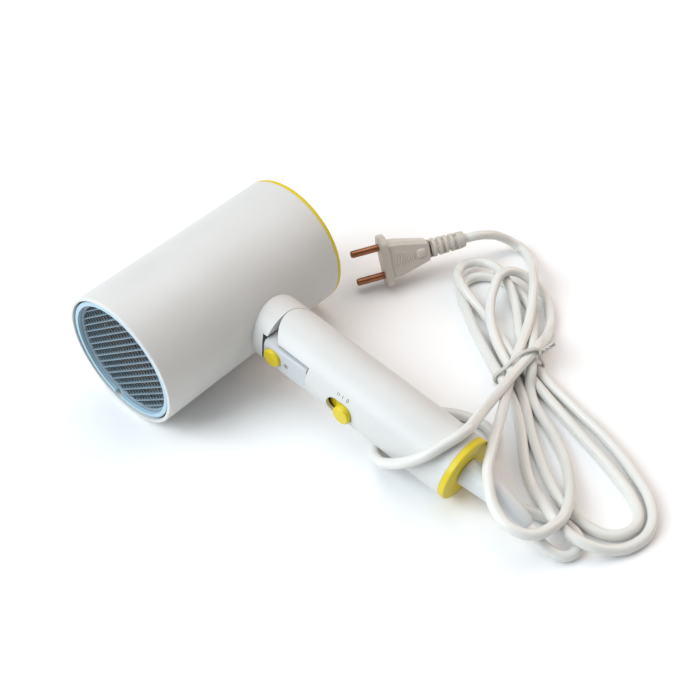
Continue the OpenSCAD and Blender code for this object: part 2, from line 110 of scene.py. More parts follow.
BARREL_R = 42.5
HANDLE_X = 12.5
HANDLE_R = 19.5
HINGE_AXIS = next(joint for joint in frame["joints"] if joint["name"] == "fold_hinge")["axis"]
ROLL = math.atan2(HINGE_AXIS[1], -HINGE_AXIS[2])
BARREL_LOW, BARREL_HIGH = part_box("barrel_shell")
AXIS_Y = (BARREL_LOW.y + BARREL_HIGH.y) / 2 / MM


def move(x, y, z):
    """A shift, as a matrix."""
    return Matrix.Translation((x, y, z))


def turn(degrees, axis):
    """A turn about an axis, as a matrix."""
    return Matrix.Rotation(math.radians(degrees), 4, axis)


# From the dryer's own frame, barrel along x and handle along -y, to how it lies on the floor
LIE = move(0, AXIS_Y, BARREL_R) @ Matrix.Rotation(ROLL, 4, "X")


def along_barrel(x):
    """z runs along the barrel, from x on."""
    return LIE @ move(x, 0, 0) @ turn(90, "Y")


def out_of_handle(reach):
    """z comes out of the handle's outlet side, and y points to the barrel."""
    return LIE @ move(HANDLE_X, -reach, 0) @ turn(-90, "Y")


# z runs along the plug to its pins' tips, and x is the pins' line
AT_PLUG = (move(113.6, 34.8, 17.4) @ turn(148, "Z") @ turn(5, "Y") @ turn(-152, "X")
           @ turn(90, "Y"))


# ---------------------------------------------------------------- mesh helpers, in millimetres


def loft(bm, rings):
    """Skins rings of points, one after another, and closes both ends."""
    rows = [[bm.verts.new(point) for point in ring] for ring in rings]
    count = len(rows[0])
    for low, high in zip(rows, rows[1:]):
        for i in range(count):
            j = (i + 1) % count
            bm.faces.new((low[i], low[j], high[j], high[i]))
    bm.faces.new(rows[0][::-1])
    bm.faces.new(rows[-1])


def revolve(bm, profile, steps=96, closed=False):
    """Turns a profile of (radius, z) round z. A closed profile makes a ring."""
    rows = []
    for radius, z in profile:
        rows.append([bm.verts.new((radius * math.cos(2 * math.pi * i / steps),
                                   radius * math.sin(2 * math.pi * i / steps), z))
                     for i in range(steps)])
    pairs = list(zip(rows, rows[1:]))
    if closed:
        pairs.append((rows[-1], rows[0]))
    for low, high in pairs:
        for i in range(steps):
            j = (i + 1) % steps
            bm.faces.new((low[i], low[j], high[j], high[i]))
    if not closed:
        bm.faces.new(rows[0][::-1])
        bm.faces.new(rows[-1])


def rounded(points, radius, steps=5):
    """Rounds every corner of a closed polygon with an arc."""
    out = []
    count = len(points)
    for i in range(count):
        before, here, after = (Vector(points[(i + k) % count]) for k in (-1, 0, 1))
        a, b = (before - here), (after - here)
        size = min(radius, 0.45 * a.length, 0.45 * b.length)
        a, b = a.normalized() * size, b.normalized() * size
        for k in range(steps + 1):
            t = k / steps
            out.append((1 - t) ** 2 * (here + a) + 2 * t * (1 - t) * here + t * t * (here + b))
    return out


def box(bm, low, high, bevel, matrix=Matrix.Identity(4)):
    """A box between two corners, with rounded edges."""
    made = bmesh.ops.create_cube(bm, size=1)["verts"]
    low, high = Vector(low), Vector(high)
    for vert in made:
        vert.co = Vector(low[k] + (vert.co[k] + 0.5) * (high[k] - low[k]) for k in range(3))
    edges = list({edge for vert in made for edge in vert.link_edges})
    made = bmesh.ops.bevel(bm, geom=edges, offset=bevel, segments=3, affect="EDGES",
                           profile=0.5)["verts"]
    bmesh.ops.transform(bm, matrix=matrix, verts=list(set(made)))


def spline_points(points, steps):
    """Catmull-Rom points through the given ones; a point may hold a radius too."""
    ends = [points[0]] + list(points) + [points[-1]]
    out = []
    for i in range(1, len(ends) - 2):
        p0, p1, p2, p3 = ends[i - 1:i + 3]
        for k in range(steps):
            t = k / steps
            out.append(tuple(0.5 * (2 * b + (c - a) * t + (2 * a - 5 * b + 4 * c - d) * t * t
                                    + (3 * b - a - 3 * c + d) * t ** 3)
                             for a, b, c, d in zip(p0, p1, p2, p3)))
    out.append(tuple(points[-1]))
    return out


def sweep(bm, path, sides):
    """A round body along a path of (x, y, z, radius)."""
    centres = [Vector(p[:3]) for p in path]
    side = Vector((1, 0, 0))
    rings = []
    for i, centre in enumerate(centres):
        run = (centres[min(i + 1, len(centres) - 1)] - centres[max(i - 1, 0)]).normalized()
        side = (side - run * side.dot(run)).normalized()
        up = run.cross(side)
        radius = path[i][3]
        rings.append([centre + radius * (math.cos(2 * math.pi * k / sides) * side
                                         + math.sin(2 * math.pi * k / sides) * up)
                      for k in range(sides)])
    loft(bm, rings)


# ---------------------------------------------------------------- materials


class Nodes:
    """Short names for the shader nodes of one material."""

    def __init__(self, name):
        self.material = bpy.data.materials.new(name)
        self.material.use_nodes = True
        self.tree = self.material.node_tree
        self.shader = self.tree.nodes["Principled BSDF"]
        self.place = self.tree.nodes.new("ShaderNodeTexCoord").outputs["Object"]

    def make(self, kind, **inputs):
        node = self.tree.nodes.new("ShaderNode" + kind)
        for key, value in inputs.items():
            target = node.inputs[key.replace("_", " ")]
            if hasattr(value, "is_linked"):
                self.tree.links.new(value, target)
            else:
                target.default_value = value
        return node

    def stretched(self, scale, rotation=(0, 0, 0)):
        node = self.make("Mapping", Vector=self.place, Scale=scale)
        node.inputs["Rotation"].default_value = rotation
        return node.outputs["Vector"]

    def noise(self, scale, detail=3.0, rough=0.5, vector=None):
        return self.make("TexNoise", Vector=vector or self.place, Scale=scale, Detail=detail,
                         Roughness=rough).outputs["Fac"]

    def ramp(self, value, *stops):
        node = self.make("ValToRGB", Fac=value)
        ramp = node.color_ramp
        while len(ramp.elements) < len(stops):
            ramp.elements.new(0.5)
        for element, (place, colour) in zip(ramp.elements, stops):
            element.position = place
            element.color = (*colour, 1) if hasattr(colour, "__len__") else (colour,) * 3 + (1,)
        return node.outputs["Color"]

    def mix(self, share, a, b, blend="MIX"):
        node = self.tree.nodes.new("ShaderNodeMix")
        node.data_type = "RGBA"
        node.blend_type = blend
        for index, value in ((0, share), (6, a), (7, b)):
            if hasattr(value, "is_linked"):
                self.tree.links.new(value, node.inputs[index])
            else:
                node.inputs[index].default_value = (
                    value if index == 0 else (*value, 1) if len(value) == 3 else value)
        return node.outputs[2]

    def math(self, kind, a, b):
        node = self.tree.nodes.new("ShaderNodeMath")
        node.operation = kind
        for index, value in enumerate((a, b)):
            if hasattr(value, "is_linked"):
                self.tree.links.new(value, node.inputs[index])
            else:
                node.inputs[index].default_value = value
        return node.outputs[0]

    def spread(self, value, low, high):
        return self.make("MapRange", Value=value, To_Min=low, To_Max=high).outputs["Result"]

    def bump(self, height, strength, distance, normal=None):
        node = self.make("Bump", Height=height, Strength=strength, Distance=distance)
        if normal is not None:
            self.tree.links.new(normal, node.inputs["Normal"])
        return node.outputs["Normal"]

    def join(self, value, socket):
        self.tree.links.new(value, self.shader.inputs[socket])

    def set(self, **values):
        for key, value in values.items():
            self.shader.inputs[key.replace("_", " ")].default_value = value


def shade(colour, factor):
    """A colour made lighter or darker."""
    return tuple(min(1.0, part * factor) for part in colour)


def plastic(name, colour, rough=0.35, grain=0.25, grain_scale=1800, coat=0.0, tint=None,
            soft_edge=0.00035, wear=0.35, soft=0.0):
    """Moulded plastic: faint flow marks, fine spark-eroded grain, rubbed and scuffed places,
    paler edges, and edges slightly rounded to the eye."""
    n = Nodes(name)
    tint = tint or shade(colour, 0.93)
    cloud = n.noise(22, 4, 0.55)
    flow = n.noise(9, 2, 0.5, n.stretched((1, 3.5, 1), (0.3, 0.2, 0.5)))
    base = n.mix(n.ramp(cloud, (0.35, 0.0), (0.7, 1.0)), tint, shade(colour, 1.03))
    base = n.mix(n.spread(flow, 0.0, 0.35), base, shade(colour, 0.97))
    scratch = n.noise(60, 6, 0.7, n.stretched((1, 14, 2), (0.6, 0.1, 0.9)))
    scuff = n.ramp(scratch, (0.62, 0.0), (0.68, 1.0))
    edge = n.ramp(n.make("NewGeometry").outputs["Pointiness"], (0.50, 0.0), (0.60, 1.0))
    base = n.mix(n.math("MULTIPLY", edge, 0.3 * wear), base, shade(colour, 1.2))
    base = n.mix(n.math("MULTIPLY", scuff, 0.12 * wear), base, shade(colour, 0.7))
    n.join(base, "Base Color")
    smear = n.noise(45, 3, 0.6)
    level = n.math("ADD", n.spread(smear, rough - 0.07, rough + 0.08),
                   n.math("MULTIPLY", scuff, 0.15 * wear))
    n.join(level, "Roughness")
    round_edge = n.make("Bevel", Radius=soft_edge)
    round_edge.samples = 4
    fine = n.noise(grain_scale, 2, 0.5)
    normal = n.bump(fine, grain, 0.00006, round_edge.outputs["Normal"])
    n.join(n.bump(flow, 0.05, 0.0004, normal), "Normal")
    n.set(Coat_Weight=coat, Coat_Roughness=0.12, IOR=1.49)
    if soft:
        n.set(Subsurface_Weight=soft, Subsurface_Scale=0.004)
        n.set(Subsurface_Radius=(1.0, 0.7, 0.5))
    return n.material


def metal(name, colour, rough=0.3, brush=(1, 40, 40), dull=0.6, brush_scale=60):
    """Drawn or pressed metal: brushed lines, dull patches and darker handled places."""
    n = Nodes(name)
    lines = n.noise(brush_scale, 5, 0.65, n.stretched(brush))
    patch = n.noise(70, 4, 0.6)
    base = n.mix(n.ramp(patch, (0.4, 0.0), (0.75, 1.0)), colour, shade(colour, dull))
    base = n.mix(n.spread(lines, 0.0, 0.3), base, shade(colour, 1.15))
    n.join(base, "Base Color")
    n.join(n.math("ADD", n.spread(lines, rough - 0.08, rough + 0.1),
                  n.math("MULTIPLY", patch, 0.12)), "Roughness")
    n.join(n.bump(lines, 0.2, 0.00005), "Normal")
    n.set(Metallic=1.0)
    return n.material


def woven_steel(name):
    """The filter's fine mesh: two sets of wires, with dark between them."""
    n = Nodes(name)
    wires = []
    for axis in ("Y", "Z"):
        wave = n.make("TexWave", Vector=n.place, Scale=520)
        wave.bands_direction = axis
        wires.append(n.ramp(wave.outputs["Fac"], (0.3, 0.0), (0.75, 1.0)))
    height = n.mix(1.0, *wires, "LIGHTEN")
    dirt = n.noise(60, 4, 0.6)
    base = n.mix(height, (0.03, 0.03, 0.033), (0.55, 0.56, 0.58))
    n.join(n.mix(n.spread(dirt, 0.0, 0.3), base, (0.25, 0.24, 0.22)), "Base Color")
    n.join(n.spread(dirt, 0.3, 0.5), "Roughness")
    n.join(n.bump(height, 0.6, 0.0002), "Normal")
    n.set(Metallic=0.7)
    return n.material


def circuit_board(name):
    """Green board with darker solder mask, traces and small tinned pads."""
    n = Nodes(name)
    bricks = n.make("TexBrick", Vector=n.stretched((1, 1, 1), (0.0, 1.5708, 0.0)), Scale=220,
                    Mortar_Size=0.06)
    bricks.inputs["Color1"].default_value = (0.012, 0.10, 0.05, 1)
    bricks.inputs["Color2"].default_value = (0.010, 0.085, 0.045, 1)
    bricks.inputs["Mortar"].default_value = (0.03, 0.19, 0.09, 1)
    pads = n.make("TexVoronoi", Vector=n.place, Scale=240)
    spot = n.ramp(pads.outputs["Distance"], (0.16, 1.0), (0.2, 0.0))
    base = n.mix(spot, bricks.outputs["Color"], (0.6, 0.6, 0.62))
    cloud = n.noise(80, 3)
    n.join(n.mix(n.spread(cloud, 0.0, 0.25), base, (0.03, 0.06, 0.03)), "Base Color")
    n.join(n.spread(cloud, 0.25, 0.45), "Roughness")
    n.join(n.math("MULTIPLY", spot, 0.8), "Metallic")
    n.join(n.bump(bricks.outputs["Fac"], 0.3, 0.0001), "Normal")
    return n.material


def mica_sheet(name):
    """Pressed mica: flakes of amber and grey, glossy in places."""
    n = Nodes(name)
    flakes = n.make("TexVoronoi", Vector=n.stretched((1, 1, 1.6)), Scale=330)
    small = n.noise(900, 3, 0.7)
    base = n.mix(n.ramp(flakes.outputs["Color"], (0.2, 0.0), (0.8, 1.0)),
                 (0.42, 0.30, 0.17), (0.62, 0.50, 0.33))
    n.join(n.mix(n.spread(small, 0.0, 0.5), base, (0.35, 0.27, 0.18)), "Base Color")
    n.join(n.spread(flakes.outputs["Distance"], 0.22, 0.5), "Roughness")
    n.join(n.bump(small, 0.3, 0.0001), "Normal")
    return n.material


def heater_wire(name):
    """Resistance wire, blued by heat in places."""
    n = Nodes(name)
    heat = n.noise(110, 3, 0.6)
    base = n.ramp(heat, (0.3, (0.42, 0.40, 0.39)), (0.5, (0.30, 0.24, 0.20)),
                  (0.62, (0.14, 0.15, 0.22)), (0.75, (0.38, 0.37, 0.38)))
    n.join(base, "Base Color")
    n.join(n.spread(heat, 0.3, 0.5), "Roughness")
    n.join(n.bump(n.noise(2200, 2), 0.3, 0.00005), "Normal")
    n.set(Metallic=0.9)
    return n.material


WHITE = (0.66, 0.66, 0.645)
YELLOW = (0.74, 0.58, 0.012)
MATERIALS = {
    "white_shell": plastic("white_shell", WHITE, 0.42, 0.3, tint=(0.635, 0.63, 0.61)),
    "pale_trim": plastic("pale_trim", (0.40, 0.57, 0.67), 0.38, 0.25, tint=(0.37, 0.54, 0.64)),
    "grille_black": plastic("grille_black", (0.23, 0.30, 0.35), 0.45, 0.3, tint=(0.19, 0.26, 0.31)),
    "yellow_trim": plastic("yellow_trim", YELLOW, 0.36, 0.25, tint=(0.68, 0.53, 0.012)),
    "filter_steel": woven_steel("filter_steel"),
    "dark_plastic": plastic("dark_plastic", (0.028, 0.029, 0.032), 0.42, 0.35),
    "impeller_black": plastic("impeller_black", (0.02, 0.02, 0.022), 0.32, 0.2),
    "motor_can": metal("motor_can", (0.50, 0.50, 0.49), 0.34, (40, 1, 1)),
    "bright_steel": metal("bright_steel", (0.66, 0.66, 0.65), 0.24),
    "board_green": circuit_board("board_green"),
    "mica": mica_sheet("mica"),
    "coil_wire": heater_wire("coil_wire"),
    "thermostat_metal": metal("thermostat_metal", (0.60, 0.57, 0.50), 0.36),
    "fuse_body": metal("fuse_body", (0.70, 0.52, 0.22), 0.3),
    "red_leads": plastic("red_leads", (0.42, 0.03, 0.02), 0.45, 0.2, grain_scale=900),
    "screw_steel": metal("screw_steel", (0.42, 0.42, 0.43), 0.3, (1, 1, 30)),
    "grey_plastic": plastic("grey_plastic", (0.40, 0.41, 0.42), 0.5, 0.3),
    "capacitor_box": plastic("capacitor_box", (0.52, 0.40, 0.12), 0.35, 0.15),
    "white_lead": plastic("white_lead", (0.74, 0.735, 0.70), 0.30, 0.18, 900, coat=0.25,
                          tint=(0.71, 0.70, 0.66), soft=0.05),
    "white_relief": plastic("white_relief", (0.64, 0.66, 0.67), 0.36, 0.2, 1200, coat=0.1,
                            tint=(0.60, 0.62, 0.63), soft=0.05),
    "tie_white": plastic("tie_white", (0.60, 0.57, 0.52), 0.4, 0.25, 1200),
    "plug_ivory": plastic("plug_ivory", (0.60, 0.55, 0.485), 0.38, 0.3, 1400,
                          tint=(0.56, 0.505, 0.435), soft=0.04),
    "pin_brass": metal("pin_brass", (0.40, 0.17, 0.085), 0.26, (1, 1, 1), 0.55),
}
PANEL = plastic("panel_white", (0.62, 0.645, 0.655), 0.38, 0.25, tint=(0.59, 0.615, 0.63))
INK = plastic("printed_mark", (0.045, 0.05, 0.055), 0.5, 0.1, wear=0.2)
# The slats' colour is the grille's own blue-grey made darker: painted shade for their lying further in.
SLAT_PAINTED_SHADE = plastic("recessed_slat_painted_shade", (0.13, 0.17, 0.20), 0.5, 0.25)

for row in frame["record"]["subparts"]:
    node = NODES[row["node"]]
    node.data.materials.clear()
    node.data.materials.append(MATERIALS[row["material_slot"]])

NODES["button_panel"].data.materials[0] = PANEL

# ---------------------------------------------------------------- outlet grille

GRILLE_R = 34.6
GRILLE_BARS = 17
GRILLE_SLATS = 18
SLAT_PITCH = 3.8


def add_grille():
    """Slanted bars in a round frame, and fine slats across them, a little further in; the slats are the bars'
    plastic painted darker, as painted shade.
    """
    pitch = 2 * GRILLE_R / GRILLE_BARS
    frame_in = along_barrel(-67.5)
    bm = bmesh.new()
    # The frame, with a rounded front lip and a step inside it
    revolve(bm, [(34.6, 4.0), (34.6, 1.4), (34.9, 0.6), (35.4, 0.15), (35.9, 0.0), (36.8, 0.1),
                 (37.0, 0.4), (37.0, 4.0)], 128, closed=True)
    across = turn(-45, "Z")
    for i in range(GRILLE_BARS):
        x = (i + 0.5) * pitch - GRILLE_R
        half = math.sqrt((GRILLE_R + 0.35) ** 2 - (abs(x) + 0.45) ** 2)
        outline = [(x - 0.27, 3.0), (x - 0.27, 0.3), (x - 0.13, 0.06), (x + 0.13, 0.06),
                   (x + 0.27, 0.3), (x + 0.27, 3.0)]
        loft(bm, [[across @ Vector((px, y, pz)) for px, pz in outline] for y in (-half, half)])
    made = placed("grille_bars", bm, frame_in, "barrel", MATERIALS["grille_black"])
    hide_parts("outlet_grille")
    bm = bmesh.new()
    for i in range(GRILLE_SLATS):
        y = (i - (GRILLE_SLATS - 1) / 2) * SLAT_PITCH
        half = math.sqrt((GRILLE_R + 0.3) ** 2 - (abs(y) + 0.6) ** 2)
        outline = [(y - 0.36, 1.55), (y - 0.36, 1.1), (y - 0.2, 0.95), (y + 0.2, 0.95),
                   (y + 0.36, 1.1), (y + 0.36, 1.55)]
        loft(bm, [[across @ Vector((x, py, pz)) for py, pz in outline] for x in (-half, half)])
    # The slats get the darker copy of the grille's plastic, as painted shade.
    placed("grille_slats", bm, frame_in, "barrel", SLAT_PAINTED_SHADE)


add_grille()

# ---------------------------------------------------------------- controls

BUTTON_REACH = 58.5
KNOB_REACH = 114.4


def add_controls():
    """The cool air button, and the slide switch's knob with the plate under its slot."""
    yellow = MATERIALS["yellow_trim"]
    bm = bmesh.new()
    revolve(bm, [(0.02, 20.72), (2.5, 20.70), (4.2, 20.62), (5.0, 20.5), (5.5, 20.25), (5.85, 19.8),
                 (6.0, 19.2), (6.0, 15.3), (6.88, 15.28), (6.88, 14.2), (0.02, 14.2)], 72)
    made = placed("cool_air_button", bm, out_of_handle(BUTTON_REACH), "button", yellow)
    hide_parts("cool_button")

    bm = bmesh.new()
    revolve(bm, [(0.02, 22.18), (4.7, 22.24), (5.1, 22.22), (5.35, 22.08), (5.75, 21.62), (5.88, 21.3),
                 (5.9, 20.8), (5.9, 15.0), (0.02, 15.0)], 72)
    bm.transform(out_of_handle(KNOB_REACH))
    # The plate that slides under the slot, with its click ridges
    box(bm, (HANDLE_X - 15.2, -120.9, -7), (HANDLE_X - 14.0, -101.1, 7), 0.3, LIE)
    for k in range(3):
        y = -105.2 + 1.3 * k
        box(bm, (HANDLE_X - 15.6, y, -5.2), (HANDLE_X - 15.1, y + 0.5, 5.2), 0.15, LIE)
    box(bm, (HANDLE_X - 14.1, -115.4, -1.5), (HANDLE_X - 10.5, -113.4, 1.5), 0.2, LIE)
    made = placed("slide_knob", bm, Matrix.Identity(4), "knob", yellow)
    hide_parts("switch_knob")


add_controls()

# ---------------------------------------------------------------- printed marks

MARK_LIFT = 0.035


def on_handle(s, a):
    """A point just off the round handle, at a reach and a distance round it."""
    angle = a / HANDLE_R
    radius = HANDLE_R + MARK_LIFT
    return HANDLE_X - radius * math.cos(angle), -s, radius * math.sin(angle)


def stroke(bm, points, width, place):
    """A printed stroke through points, where place turns each into a point in space."""
    for (s0, a0), (s1, a1) in zip(points, points[1:]):
        run = Vector((s1 - s0, a1 - a0)).normalized()
        side = Vector((-run.y, run.x)) * width / 2
        run = run * width / 2
        count = 4
        rows = []
        for k in range(count + 1):
            t = k / count
            s = (s0 - run.x) + t * (s1 - s0 + 2 * run.x)
            a = (a0 - run.y) + t * (a1 - a0 + 2 * run.y)
            rows.append([(s + side.x, a + side.y), (s - side.x, a - side.y)])
        made = [[bm.verts.new(place(s, a)) for s, a in row] for row in rows]
        for low, high in zip(made, made[1:]):
            bm.faces.new((low[0], low[1], high[1], high[0]))


def add_marks():
    """The switch's II, I and 0, and the cool air icon."""
    bm = bmesh.new()
    middle = 10.2
    for reach in (107.2, 108.4, 111.0):
        stroke(bm, [(reach, middle - 0.85), (reach, middle + 0.85)], 0.3, on_handle)
    ring = [(114.6 + 0.62 * math.cos(math.pi * k / 8), middle + 0.95 * math.sin(math.pi * k / 8))
            for k in range(17)]
    stroke(bm, ring, 0.28, on_handle)
    placed("switch_marks", bm, LIE, "handle", INK)

    # The panel's face slopes; its snowflake is three crossed strokes with short side arms.
    def on_panel(s, a):
        x = -18.6 + 1.2 * (s - 51.4) / 32.6
        return (HANDLE_X + x - 0.03, -s, a)

    bm = bmesh.new()
    for k in range(6):
        angle = math.radians(60 * k + 30)
        along = Vector((math.cos(angle), math.sin(angle)))
        tip, knee = 1.75 * along, 1.1 * along
        middle = Vector((68.5, 0.0))
        stroke(bm, [middle, middle + tip], 0.28, on_panel)
        for side in (-1, 1):
            arm = Vector((math.cos(angle + side * 0.9), math.sin(angle + side * 0.9))) * 0.55
            stroke(bm, [middle + knee, middle + knee + arm], 0.22, on_panel)
    placed("cool_air_icon", bm, LIE, "handle", INK)


add_marks()

# ---------------------------------------------------------------- lead

LEAD_D = 0.0062
# The lead's route from the strain relief to the plug, the same points as the CAD model's
LEAD_ROUTE_MM = [
    (10, -157, 11), (8, -165, 8.6), (8.5, -172, 5.4), (11.5, -179, 3.6), (18.5, -182, 3.1),
    (26, -179, 3.1), (29, -172, 3.1), (28, -163, 3.1), (25, -154, 3.1), (22, -141, 3.1), (21, -128, 3.1),
    (26, -118, 3.1), (35, -111, 3.1), (46, -107, 3.1), (54, -100, 3.1), (56, -90, 3.1), (48, -69, 3.1),
    (39, -61, 3.1), (26, -56, 3.1), (12, -54, 3.1), (0, -59, 4.5), (-8, -68, 11), (-12, -78, 19.5),
    (-8, -97, 36.5), (4, -104, 42.5), (17, -107, 43.5), (30, -104, 38), (48, -98, 28), (90, -89, 17),
    (118, -86, 15.5), (145, -77, 3.6), (157, -70, 3.1), (167, -60, 3.6), (171, -50, 5.5), (171, -42, 8.4),
    (165, -34, 14), (155, -31, 16), (144, -34, 14), (131, -41, 10.5), (117, -54, 7.5), (92, -93, 4.4),
    (62, -126, 3.1), (41, -157, 3.1), (36, -180, 3.1), (39, -190, 3.1), (47, -196, 3.1), (57, -196, 3.1),
    (66, -188, 3.1), (75, -171, 3.1), (89, -133, 3.1), (103, -94, 4.4), (111, -75, 4.4), (130, -37, 4),
    (138, -12, 9.3), (146, -4, 8.8), (156, -3, 8.5), (164, -10, 8.5), (165, -21, 9.3), (158, -35, 9.3),
    (151, -46, 6), (124, -72, 4.4), (111, -94, 4.4), (102, -124, 3.1), (94, -152, 3.1), (83, -177, 3.1),
    (69, -197, 3.1), (56, -204, 3.1), (42, -203, 3.1), (30, -196, 5), (23, -187, 8), (21, -176, 9.5),
    (24, -163, 9.3), (31, -152, 6.5), (36, -144, 3.4), (45, -132, 3.1), (77, -102, 3.4), (89, -84, 4.4),
    (100, -66, 3.1), (125, -28, 3.1), (136, -15, 3.1), (147, -10, 3.1), (158, -15, 3.1), (163, -28, 3.1),
    (161, -44, 3.1), (151, -60, 3.1), (132, -74, 6), (104, -92, 10.6), (94, -99, 5), (73, -133, 3.1),
    (62, -147, 3.5), (29, -167, 12.5), (14, -168, 16.5), (4, -165, 18), (-2, -158, 20), (-2, -146, 22),
    (12, -127, 28), (22, -121, 29), (51, -107, 25), (87, -88, 11), (104, -80, 10.4), (142, -64, 9.2),
    (169, -47, 14), (190, -31, 5), (197, -21, 3.3), (196, -12, 6), (189, -6, 12.5), (179, -4, 19.5),
    (169.5, -0.2, 22.8), (161.8, 4.7, 22.4),
]


def smooth_path(points, steps):
    """A smooth line through the points, with so many pieces between each two."""
    arms = []
    for i, here in enumerate(points):
        after = points[i + 1] - here if i + 1 < len(points) else here - points[i - 1]
        before = here - points[i - 1] if i else after
        run = (after.normalized() + before.normalized()).normalized() / 2.5614
        arms.append((here - run * min(before.length, 5 * after.length),
                     here + run * min(after.length, 5 * before.length)))
    line = [points[0]]
    for i in range(len(points) - 1):
        p0, p1, p2, p3 = points[i], arms[i][1], arms[i + 1][0], points[i + 1]
        for k in range(1, steps + 1):
            t = k / steps
            u = 1 - t
            line.append(p0 * u ** 3 + p1 * 3 * t * u * u + p2 * 3 * t * t * u + p3 * t ** 3)
    return line


def add_lead():
    """The lead's tube, and its centreline in metres."""
    route = smooth_path([Vector(point) for point in LEAD_ROUTE_MM], 8)
    route = [Vector((p.x, p.y, max(p.z, 3.1))) for p in route]
    bm = bmesh.new()
    sweep(bm, [(p.x, p.y, p.z, LEAD_D / MM / 2) for p in route], 20)
    lead = placed("mains_lead", bm, Matrix.Identity(4), "handle",
                  MATERIALS["white_lead"], 60)
    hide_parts("cord")
    return lead, [tuple(p * MM) for p in route]


lead, lead_route = add_lead()

# ---------------------------------------------------------------- strain relief


def add_relief():
    """The sleeve on the lead: straight in the end cap, then bent over and tapered to the lead."""
    path = [(HANDLE_X, AXIS_Y - s * math.cos(ROLL), BARREL_R - s * math.sin(ROLL), r)
            for s, r in ((176, 7.0), (181, 7.0), (186.5, 7.05), (187.3, 7.9), (188.2, 8.2),
                         (191, 8.1), (198, 7.6))]
    path += [(12.1, -134, 17, 6.9), (11.1, -147, 14, 5.8), (10.4, -153.5, 12.1, 4.7),
             (10.1, -156.2, 11.25, 3.8), (10, -157, 11, 3.4)]
    bm = bmesh.new()
    sweep(bm, spline_points(path, 6), 48)
    made = placed("lead_boot", bm, Matrix.Identity(4), "handle",
                  MATERIALS["white_relief"], 60)
    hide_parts("strain_relief")
    return made


boot = add_relief()

# ---------------------------------------------------------------- plug


GRIP_BEVEL = 2.2
RIB_FROM, RIB_TO = -7.6, -21.5
RIB_PITCH = 1.75
RIB_HEIGHT = 0.62
PIN_PITCH = 19


def grip_size(z):
    """Half the grip's width and thickness at a place along the plug."""
    def at(*table):
        for (z0, v0), (z1, v1) in zip(table, table[1:]):
            if z >= z1:
                return v0 + (v1 - v0) * (z0 - z) / (z0 - z1)
        return table[-1][1]
    return at((-3, 12.5), (-12, 11.5), (-32, 6.8)), at((-3, 7.2), (-10, 7.4), (-32, 5.8))


def rib_height(x, z):
    """How far the wavy ribs stand out of the grip's broad faces."""
    reach = 5.9 - 0.25 * (RIB_FROM - z)
    wave = 0.5 + 0.5 * math.cos(2 * math.pi * (z + 0.5 * math.sin(x * 1.1)) / RIB_PITCH)
    edge = min(1.0, max(0.0, (reach - abs(x)) / 0.7))
    edge *= min(1.0, (RIB_FROM - z) / 0.6, (z - RIB_TO) / 0.6)
    return RIB_HEIGHT * wave * edge


